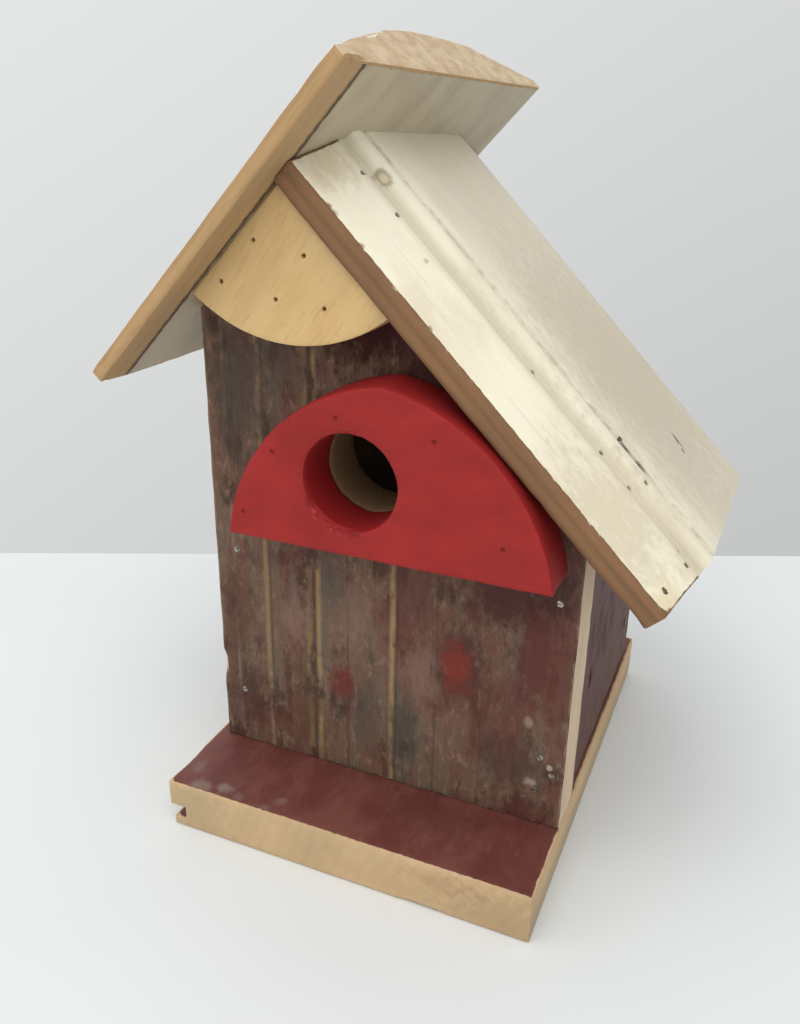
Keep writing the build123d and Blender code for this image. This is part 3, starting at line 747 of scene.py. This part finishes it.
TAN, OLIVE, PALE, DARK = "9C7F57", "7E6A45", "A08A72", "35271F"
siding_front = barn_board(
    "weathered_barn_siding_front", (0, -1, 0), shaded_bore=(ENTRANCE_X, 0, ENTRANCE_Z),
    streaks=[(-44.6, 1.3, 0.6, "94795B"), (-43.0, 0.8, 0.3, DARK), (-27.5, 1.3, 0.7, OLIVE),
             (-25.3, 0.9, 0.6, DARK), (-23.3, 1.3, 0.7, TAN), (5.4, 1.5, 0.8, TAN),
             (7.2, 0.9, 0.5, DARK), (-58.0, 0.8, 0.25, PALE), (-12.0, 0.9, 0.4, DARK),
             (22.0, 0.9, 0.35, DARK), (38.0, 0.8, 0.3, OLIVE)],
    marks=[((47, -55, 106), 16.0, (1.3, 1, 1), "431D1A", 0.8),
           ((57, -55, 84), 11.0, (1, 1, 2.2), "5A2722", 0.7),
           ((61, -55, 112), 9.0, (1, 1, 1.2), "38201B", 0.7),
           ((29.5, -55, 75), 9.2, (1, 1, 1.6), "38201A", 0.85),
           ((29.5, -55, 75), 7.0, (1, 1, 1.7), "752D24", 1.0),
           ((-14, -55, 57), 6.0, (1, 1, 1.4), "672A25", 0.9),
           ((-2, -55, 190), 19.0, (1.4, 1, 1), "3A0F0B", 1.0),
           ((20, -55, 180), 15.0, (1.2, 1, 1), "3E1915", 0.95),
           ((-53, -55, 165), 13.0, (1, 1, 2.4), "463A32", 0.75),
           ((-36, -55, 178), 10.0, (1, 1, 2.0), "453A32", 0.6),
           ((16, -55, 68), 8.0, (1, 1, 2.0), "866B5B", 0.55),
           ((-33, -55, 80), 7.0, (1, 1, 2.0), "84685A", 0.6),
           ((-10, -55, 86), 10.0, (1, 1, 1.6), "7E6455", 0.5),
           ((10, -55, 42), 7.0, (1, 1, 3.0), "443E36", 0.75),
           ((-5, -55, 46), 5.5, (1, 1, 3.2), "4C463D", 0.7),
           ((-18, -55, 98), 6.0, (1, 1, 2.6), "504A42", 0.6),
           ((50, -55, 42), 12.0, (1.4, 1, 1), "452E24", 0.7),
           ((58, -55, 36), 2.4, (1, 1, 1.0), "A9968A", 0.7),
           ((64.5, -55, 44), 1.2, (1, 1, 1.0), "B8A79B", 0.7),
           ((56, -55, 60), 1.6, (1, 1, 1.6), "9C877A", 0.6),
           ((-54, -55, 38), 10.0, (1, 1, 1.6), "452A23", 0.6),
           ((-58, -55, 80), 9.0, (1, 1, 2.4), "56342B", 0.6),
           ((-30, -55, 40), 9.0, (1, 1, 1.4), "5C412E", 0.6)],
    foot_shadow_to=1.0,
)
siding_side = barn_board(
    "weathered_barn_siding_right", (1, 0, 0), red=0.7, lightness=0.92, pith=(60, 150, 0),
    marks=[((70, 0, 80), 40.0, (1, 1.3, 1.6), "4F2825", 0.75),
           ((70, -30, 70), 7.0, (1, 1, 1.8), "6A4A4C", 0.6),
           ((70, 0, 60), 8.0, (1, 1.2, 1.4), "54302F", 0.6),
           ((70, 40, 90), 10.0, (1, 1.2, 1.2), "5E4A42", 0.5)],
)
siding_left = barn_board("weathered_barn_siding_left", (-1, 0, 0), red=0.6, lightness=0.96,
                         pith=(-60, -150, 0))
siding_back = barn_board("weathered_barn_siding_back", (0, 1, 0), red=0.55,
                         pith=(-130, 110, 0))

# %% [markdown]
# ## Barn red on the base
#
# The base kept its paint on top, where it was always dry. It is a dull flat red, rubbed grey
# near the front left corner. The front edge is a fresh saw cut across the grain, so it shows
# the rings end on. The right edge was ripped along the grain and has a greyer lower part.


# %% Barn red paint on a pine board
def base_finish():
    material, tree = new_finish("flat_barn_red_on_pine")
    space = grain_space(tree, (0, 1, 0), (175, 0, -70))
    here = plain_space(tree)
    bare, bare_height, fibres = wood(tree, space, "CDB088", "B4946C", ring_mm=5.0,
                                     waviness=6.0, contrast=0.14)
    bare = add_patches(tree, bare, here, space, [
        ((62, -89, 6), 16.0, (1.6, 1, 1), "A88A68", 0.5),
        ((38, -89, 13), 4.0, (4.0, 1, 1), "A37D5B", 0.35),
        ((10, -89, 6), 4.0, (6.0, 1, 1), "BF9E7B", 0.35),
        ((-60, -89, 10), 12.0, (1.4, 1, 1), "AE9A78", 0.5)])
    height_here = add(tree, "SeparateXYZ", {0: here}, out="Z")
    low_band = smooth_step(tree, height_here, 9.5, 8.0)
    low_band = times(tree, low_band, facing(tree, (1, 0, 0)))
    bare = stain(tree, bare, low_band, 0.5, "968C7A")

    cloudy = stretched_noise(tree, space, (12.0, 12.0, 26.0), detail=6.0, rough=0.66)
    paint = overlay(tree, smooth_step(tree, cloudy, 0.38, 0.64), linear("64322C"),
                    linear("73433B"))
    dusty = stretched_noise(tree, space, (1.0, 1.0, 7.0), detail=4.0, rough=0.65)
    paint = stain(tree, paint, smooth_step(tree, dusty, 0.5, 0.8), 0.4, "84544C")
    specks = stretched_noise(tree, space, (1.2, 1.2, 1.4), detail=3.0)
    paint = stain(tree, paint, smooth_step(tree, specks, 0.70, 0.78), 0.6, "48201D")
    paint = add_patches(tree, paint, here, space, [
        ((-57, -86, 19), 3.4, (1.6, 1, 1), "857368", 0.65),
        ((-49, -84, 19), 3.0, (1.5, 1, 1), "8E7D72", 0.6),
        ((-41, -86, 19), 2.0, (1.8, 1, 1), "7C6058", 0.55),
        ((-26, -82, 19), 2.2, (1, 1.3, 1), "7F655D", 0.5),
        ((-30, -87, 19), 1.6, (1.6, 1, 1), "7C6058", 0.6),
        ((-64, -78, 19), 2.6, (1, 1.8, 1), "7C645C", 0.6),
        ((30, -66, 19), 12.0, (1.6, 1, 1), "582C29", 0.5),
        ((54, -80, 19), 7.0, (1, 1, 1), "5A2E2C", 0.5)])
    kept = times(tree, facing(tree, (0, 0, 1)), kept_from_rim(tree, space, 0.2, 1.1))
    colour = overlay(tree, kept, bare, paint)
    film = add(tree, "Math", {0: kept, 1: 0.8, 2: dusty}, operation="MULTIPLY_ADD")
    height = add(tree, "Mix", {0: kept, 2: bare_height, 3: film})
    gloss = add(tree, "MapRange", {"Value": kept, "To Min": 0.72, "To Max": 0.56})
    close_finish(tree, colour, gloss, height, 0.16, specular=0.4)
    return material


base_red = base_finish()

# %% [markdown]
# ## Cream gloss on the roof
#
# The roof boards carry old gloss paint on both faces of the panel. On top it is a warm cream,
# greyer towards the back, with painted shade in the cove and quirk; underneath it is a duller
# grey.
# Where the panel was sawn, brown wood shows, and the paint ends in a broken line. The saw
# cut under the front edge left a strip of raw wood there.


# %% Cream gloss paint on pine
def roof_finish(name, along, outward, early, late, end_grain, raw, cut_strip, seam_y, marks=(),
                moulding_shade=0.0):
    """Paint and wood of a roof board; the last argument is 1 where shade is painted into a
    moulding's cove and quirk.
    """
    material, tree = new_finish(name)
    pith = outward * -60 + Vector((0, -130, 0)) + Vector((RIDGE_X, 0, RIDGE_Z))
    space = grain_space(tree, along, pith)
    here = plain_space(tree)
    back = add(tree, "SeparateXYZ", {0: here}, out="Y")
    bare, bare_height, fibres = wood(tree, space, early, late, ring_mm=3.2, contrast=0.35)
    grimy = stretched_noise(tree, space, (2.0, 2.0, 22.0), detail=6.0, rough=0.7)
    bare = overlay(tree, times(tree, smooth_step(tree, grimy, 0.48, 0.68), 0.45), bare,
                   linear(raw))
    soft_end = stretched_noise(tree, space, (9.0, 5.0, 9.0), detail=6.0, rough=0.65)
    cut_end = overlay(tree, smooth_step(tree, soft_end, 0.35, 0.65), linear(end_grain[0]),
                      linear(end_grain[1]))
    for direction in (along, -along):
        bare = overlay(tree, facing(tree, direction, 0.9), bare, cut_end)

    brushed = stretched_noise(tree, space, (1.6, 1.6, 45.0), detail=4.0, rough=0.6)
    cloudy = stretched_noise(tree, space, (18.0, 18.0, 40.0), detail=5.0, rough=0.6)
    cream = overlay(tree, smooth_step(tree, back, -46.0, 0.0), linear("F0E8D2"),
                    linear("D3C9B4"))
    cream = stain(tree, cream, smooth_step(tree, cloudy, 0.42, 0.72), 0.45, "CDBD9E")
    cream = stain(tree, cream, smooth_step(tree, brushed, 0.52, 0.78), 0.35, "C2B8A2")
    # Painted shade: the cove before the bead is darkened to B3A88F and the quirk behind it to
    # 8E8370, standing in for the shade that falls in the moulding.
    cove_shade = add(tree, "Math", {0: smooth_step(tree, back, -54.0, -49.5),
                                 1: smooth_step(tree, back, -43.5, -46.5)}, operation="MULTIPLY")
    cream = stain(tree, cream, cove_shade, 0.5 * moulding_shade, "B3A88F")
    quirk_shadow = times(tree, smooth_step(tree, back, -37.2, -35.4),
                  smooth_step(tree, back, -33.6, -34.8))
    quirk_shadow_rags = smooth_step(tree, stretched_noise(tree, space, (1.5, 1.5, 4.0), detail=5.0), 0.40, 0.62)
    cream = stain(tree, cream, times(tree, quirk_shadow, quirk_shadow_rags), 0.35 * moulding_shade, "8E8370")
    specks = stretched_noise(tree, space, (0.9, 0.9, 1.5), detail=2.0)
    cream = overlay(tree, smooth_step(tree, specks, 0.80, 0.86), cream, linear("6A6152"))
    cream = add_patches(tree, cream, here, space, marks)

    dull = overlay(tree, smooth_step(tree, cloudy, 0.4, 0.7), linear("B9AC92"), linear("A89A80"))
    moulding = times(tree, smooth_step(tree, back, -53.5, -53.0),
                     smooth_step(tree, back, -33.5, -34.0))
    moulding = times(tree, moulding, facing(tree, outward, 0.12))
    upper = add(tree, "Math", {0: facing(tree, outward, 0.7), 1: moulding}, operation="MAXIMUM")
    on_top = times(tree, upper, kept_from_rim(tree, space, 0.2, 1.2))
    seam_rags = stretched_noise(tree, space, (2.0, 2.0, 4.0), detail=5.0, rough=0.65)
    seam = add(tree, "Math", {0: seam_rags, 1: 3.2, 2: back}, operation="MULTIPLY_ADD")
    behind_seam = smooth_step(tree, seam, seam_y + 1.5, seam_y + 1.8)
    dark_seam = times(tree, smooth_step(tree, seam, seam_y - 0.4, seam_y + 0.8),
                      smooth_step(tree, seam, seam_y + 2.8, seam_y + 1.6))
    below = facing(tree, -outward, 0.9)
    strip = times(tree, below, smooth_step(tree, behind_seam, 0.9, 0.1))
    bare = overlay(tree, times(tree, strip, 0.6), bare, linear(cut_strip))
    under_paint = times(tree, times(tree, below, behind_seam),
                        kept_from_rim(tree, space, 0.5, 1.8))
    rim_dark = times(tree, below, kept_from_rim(tree, space, 0.4, 1.0))

    colour = overlay(tree, under_paint, bare, dull)
    colour = stain(tree, colour, times(tree, dark_seam, rim_dark), 0.85, "3B2D20")
    colour = overlay(tree, on_top, colour, cream)
    colour = stain(tree, colour, pressed(tree), 0.9, "41362A")
    painted = add(tree, "Math", {0: on_top, 1: under_paint}, operation="MAXIMUM")
    film = add(tree, "Math", {0: painted, 1: 1.2, 2: brushed}, operation="MULTIPLY_ADD")
    height = add(tree, "Mix", {0: painted, 2: bare_height, 3: film})
    gloss = add(tree, "MapRange", {"Value": painted, "To Min": 0.75, "To Max": 0.42})
    close_finish(tree, colour, gloss, height, 0.18, specular=0.45)
    return material


def on_roof(outward, along, y, out, s):
    """A place on a roof board, in the object's millimetres."""
    return Vector((RIDGE_X, y, RIDGE_Z)) + outward * out + along * s


left_cream = roof_finish(
    "cream_gloss_on_pine_left", LEFT_UP, LEFT_OUT, "BD9A6C", "A0784E", ("D2BC9C", "BBA180"),
    "8A6F4D", "B0936C", -68.5,
    marks=[(on_roof(LEFT_OUT, LEFT_UP, -30.0, 16.0, 38.0), 7.0, (1, 1, 1), "BFA98A", 0.5)],
)
# Places are (from front to back, outward, down the slope) in millimetres.
RIGHT_MARKS_AND_SHADE = [
    ((-45.1, 17.4, 16.1), 3.0, (1, 1, 1), "6F624C", 0.9),
    ((-45.1, 17.4, 16.1), 1.9, (1, 1, 1), "CFC0A0", 1.0),
    ((-48.0, 16.0, 14.5), 1.6, (1, 1, 1), "A8977A", 0.7),
    ((-54.8, 14.6, 43.9), 1.3, (1, 1, 1), "B5AB96", 0.8),
    ((-60.0, 12.0, 6.0), 9.0, (1, 1.4, 1), "CDBB9C", 0.6),
    ((-68.0, 10.0, 165.0), 9.0, (1, 1, 1), "DCCB9E", 0.6),
    ((-53.0, 15.0, 164.0), 5.0, (1, 1, 1), "D8CCB4", 0.6),
    # Painted shade: the next two patches darken the lower bevel and the lower field, standing in
    # for less light there.
    ((-62.0, 12.0, 135.0), 26.0, (1, 1, 1), "D5C9AF", 0.85),
    ((20.0, 18.0, 110.0), 62.0, (1, 1, 1), "B9AD96", 0.55),
    ((-71.0, 8.8, 16.5), 1.5, (1, 1, 1), "665E50", 0.9),
    ((-71.0, 8.8, 19.0), 1.5, (1, 1, 1), "665E50", 0.9),
    ((-71.0, 8.8, 31.0), 1.4, (1, 1, 1), "8E8674", 0.9),
    ((-71.0, 8.8, 61.0), 1.4, (1, 1, 1), "7C725F", 0.9),
]
right_cream = roof_finish(
    "cream_gloss_on_pine_right", RIGHT_DOWN, RIGHT_OUT, "8C6644", "68452B",
    ("B8A78A", "A08C70"), "6A563C", "6A4E36", -66.0,
    marks=[(on_roof(RIGHT_OUT, RIGHT_DOWN, *place), *look) for place, *look in RIGHT_MARKS_AND_SHADE],
    moulding_shade=1.0,
)

# %% [markdown]
# ## Bare pine
#
# The gable piece is new wood: planed pine with its grain running up to the right. Its rings
# are cut almost flat, so they show only as soft clouds with short fine streaks in them.


# %% Bare planed pine
def pine_finish():
    material, tree = new_finish("bare_planed_pine")
    along = Vector((0.62, 0.0, 0.78))
    space = grain_space(tree, along, (20, 20, 180))
    colour, height, fibres = wood(tree, space, "D9B883", "C6A066", ring_mm=6.0, waviness=6.0,
                                  contrast=0.22)
    flecks = stretched_noise(tree, space, (1.3, 1.3, 9.0), detail=5.0, rough=0.65)
    colour = stain(tree, colour, smooth_step(tree, flecks, 0.50, 0.68), 0.5, "BC9459")
    clouds = stretched_noise(tree, space, (14.0, 14.0, 20.0), detail=4.0)
    colour = stain(tree, colour, smooth_step(tree, clouds, 0.45, 0.75), 0.35, "C9A066")
    colour = stain(tree, colour, pressed(tree), 0.95, "6A4A28")
    close_finish(tree, colour, 0.55, height, 0.08, specular=0.4)
    return material


bare_pine = pine_finish()

# %% [markdown]
# ## Brick red emulsion
#
# The plaque was brushed with one thick coat of matt brick-red emulsion, which hides the
# grain. It is a little darker where the brush ran thin, and its sawn edges drank more paint.
# Torn fibres on the entrance's rim catch the light.


# %% Brick red emulsion paint
def plaque_finish():
    material, tree = new_finish("matt_brick_red_emulsion")
    space = grain_space(tree, (1, 0, 0.12), (0, 60, 60))
    here = plain_space(tree)
    brushed = stretched_noise(tree, space, (1.1, 1.1, 22.0), detail=4.0, rough=0.6)
    cloudy = stretched_noise(tree, space, (16.0, 16.0, 22.0), detail=4.0, rough=0.55)
    grit = stretched_noise(tree, space, (0.5, 0.5, 0.5), detail=2.0)
    colour = overlay(tree, smooth_step(tree, cloudy, 0.35, 0.7), linear("A02A27"),
                     linear("912624"))
    colour = stain(tree, colour, smooth_step(tree, brushed, 0.5, 0.8), 0.3, "842725")
    rim = FRONT_Y - BOARD
    colour = add_patches(tree, colour, here, space, [
        ((ENTRANCE_X - 11, rim, ENTRANCE_Z - 12), 2.4, (1, 1.6, 1), "B8453D", 0.7),
        ((ENTRANCE_X - 5, rim, ENTRANCE_Z - 15.5), 2.2, (1.4, 1.6, 1), "B8453D", 0.7),
        ((ENTRANCE_X + 2, rim, ENTRANCE_Z - 16.5), 1.8, (1.4, 1.6, 1), "761A1A", 0.7),
        ((ENTRANCE_X - 14, rim, ENTRANCE_Z - 8), 1.8, (1, 1.6, 1.4), "761A1A", 0.7),
        ((48, rim, 122), 14.0, (1, 1, 1), "872A26", 0.4)])
    edge = facing(tree, (0, -1, 0), 0.85)
    colour = overlay(tree, edge, linear("8E1F20"), colour)
    colour = stain(tree, colour, pressed(tree), 0.5, "681C1B")
    height = add(tree, "Math", {0: grit, 1: 0.4, 2: brushed}, operation="MULTIPLY_ADD")
    close_finish(tree, colour, 0.62, height, 0.12, specular=0.2)
    return material


brick_red = plaque_finish()

# %% [markdown]
# ## Drawn steel wire
#
# The nails are drawn steel wire. The few heads that show are rubbed bright.


# %% Drawn steel wire
def steel_finish():
    material, tree = new_finish("rubbed_drawn_steel_wire")
    space = grain_space(tree, (0, 0, 1), (0, 0, 0))
    tarnish = stretched_noise(tree, space, (0.8, 0.8, 0.8), detail=3.0)
    colour = overlay(tree, smooth_step(tree, tarnish, 0.38, 0.58), linear("C9C4BB"),
                     linear("6E665C"))
    roughness = add(tree, "MapRange", {"Value": tarnish, "To Min": 0.3, "To Max": 0.6})
    close_finish(tree, colour, roughness, tarnish, 0.05, metallic=1.0)
    return material


steel = steel_finish()

# %% Put each finish on its pieces
FINISHES = {
    "base_board": base_red, "front_panel": siding_front, "right_side_wall": siding_side,
    "left_side_wall": siding_left, "clean_out_door": siding_back,
    "left_roof_board": left_cream, "right_roof_board": right_cream,
    "gable_piece": bare_pine, "entrance_plaque": brick_red,
}
for node, finish in FINISHES.items():
    pieces[node].data.materials.append(finish)
for name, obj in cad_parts.items():
    if name not in FINISHES:
        obj.data.materials.clear()
        obj.data.materials.append(steel)
print("finishes", sorted({m.name for m in bpy.data.materials if m.users}))

# %% [markdown]
# ## Table, light and camera
#
# The box stands on a white table. The light is soft and comes mostly from above, with more
# of it from the left, so the right side of every board is a little darker.


# %% Table
def table_finish():
    material, tree = new_finish("white_laminate")
    place = add(tree, "TexCoord", {}, out="Object")
    mottled = add(tree, "TexNoise", {"Vector": place, "Scale": 9.0, "Detail": 3.0})
    colour = overlay(tree, mottled, linear("E4E7E8"), linear("DEE1E2"))
    close_finish(tree, colour, 0.5, mottled, 0.01, specular=0.3)
    return material


TABLE_DEPTH = 0.5165  # metres from below the camera to the table's back edge
TABLE_TURN = math.radians(1.65)  # that edge is not quite square to the view
CAMERA_AT = Vector((0.1156, -0.3115, 0.2457))
YAW, PITCH, ROLL = math.radians(22.83), math.radians(22.81), math.radians(0.94)
looking = Vector((-math.sin(YAW) * math.cos(PITCH), math.cos(YAW) * math.cos(PITCH),
                  -math.sin(PITCH)))
level = Vector((-math.sin(YAW), math.cos(YAW), 0))
bm = bmesh.new()
bmesh.ops.create_grid(bm, x_segments=8, y_segments=8, size=1.5)
back_edge = CAMERA_AT + level * TABLE_DEPTH
beyond = Matrix.Rotation(TABLE_TURN, 3, "Z") @ level
bmesh.ops.bisect_plane(bm, geom=bm.verts[:] + bm.edges[:] + bm.faces[:],
                       plane_co=(back_edge.x, back_edge.y, 0), plane_no=beyond, clear_outer=True)
table_mesh = bpy.data.meshes.new("table")
bm.to_mesh(table_mesh)
bm.free()
table = bpy.data.objects.new("table", table_mesh)
bpy.context.scene.collection.objects.link(table)
table.location.z = -0.0002
table_mesh.materials.append(table_finish())
table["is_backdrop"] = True


# %% Light
def soft_light(name, place, aim, size, watts, colour):
    data = bpy.data.lights.new(name, "AREA")
    data.shape, data.size, data.energy = "DISK", size, watts
    data.color = linear(colour)[:3]
    light = bpy.data.objects.new(name, data)
    light.location = place
    light.rotation_euler = (Vector(aim) - Vector(place)).to_track_quat("-Z", "Y").to_euler()
    bpy.context.scene.collection.objects.link(light)


soft_light("overhead", (0.12, -0.50, 1.20), (0, 0, 0.1), 1.2, 5.5, "FFFDF8")
soft_light("from_the_left", (-0.95, -0.75, 0.75), (0, 0, 0.12), 0.8, 1.3, "F6FAFF")
soft_light("from_the_right", (0.9, -0.9, 0.5), (0, 0, 0.12), 0.8, 1.0, "FFF8EE")

# %% [markdown]
# The room is pale and soft: brighter above than below, and brighter on the left, where the
# window would be. One node tells the direction, and a dot product turns that to a strength.

# %% Room
right_hand = Vector((math.cos(YAW), math.sin(YAW), 0))
darker_to_the_right = right_hand * -0.165
brighter_above = Vector((0, 0, 0.25))
world = bpy.data.worlds.new("pale_room")
world.use_nodes = True
room = world.node_tree
direction = add(room, "TexCoord", {}, out="Generated")
slope = add(room, "VectorMath", {0: direction, 1: darker_to_the_right + brighter_above},
            out="Value", operation="DOT_PRODUCT")
strength = add(room, "Math", {0: slope, 1: 0.75}, operation="ADD")
background = room.nodes["Background"]
background.inputs["Color"].default_value = linear("F8FAFA")
room.links.new(strength, background.inputs["Strength"])
bpy.context.scene.world = world
bpy.context.scene.view_settings.view_transform = "Standard"

# %% Camera
upward = right_hand.cross(looking)
rolled_right = math.cos(ROLL) * right_hand + math.sin(ROLL) * upward
rolled_up = -math.sin(ROLL) * right_hand + math.cos(ROLL) * upward
turn = Matrix((rolled_right, rolled_up, -looking)).transposed()
camera_data = bpy.data.cameras.new("camera")
camera_data.lens, camera_data.sensor_width = 32.37, 36.0
camera_data.clip_start, camera_data.clip_end = 0.01, 20.0
camera = bpy.data.objects.new("camera", camera_data)
camera.matrix_world = Matrix.Translation(CAMERA_AT) @ turn.to_4x4()
bpy.context.scene.collection.objects.link(camera)
bpy.context.scene.camera = camera
print("camera at", [round(v, 3) for v in CAMERA_AT])

# %% The box of everything that is shown
low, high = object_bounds()
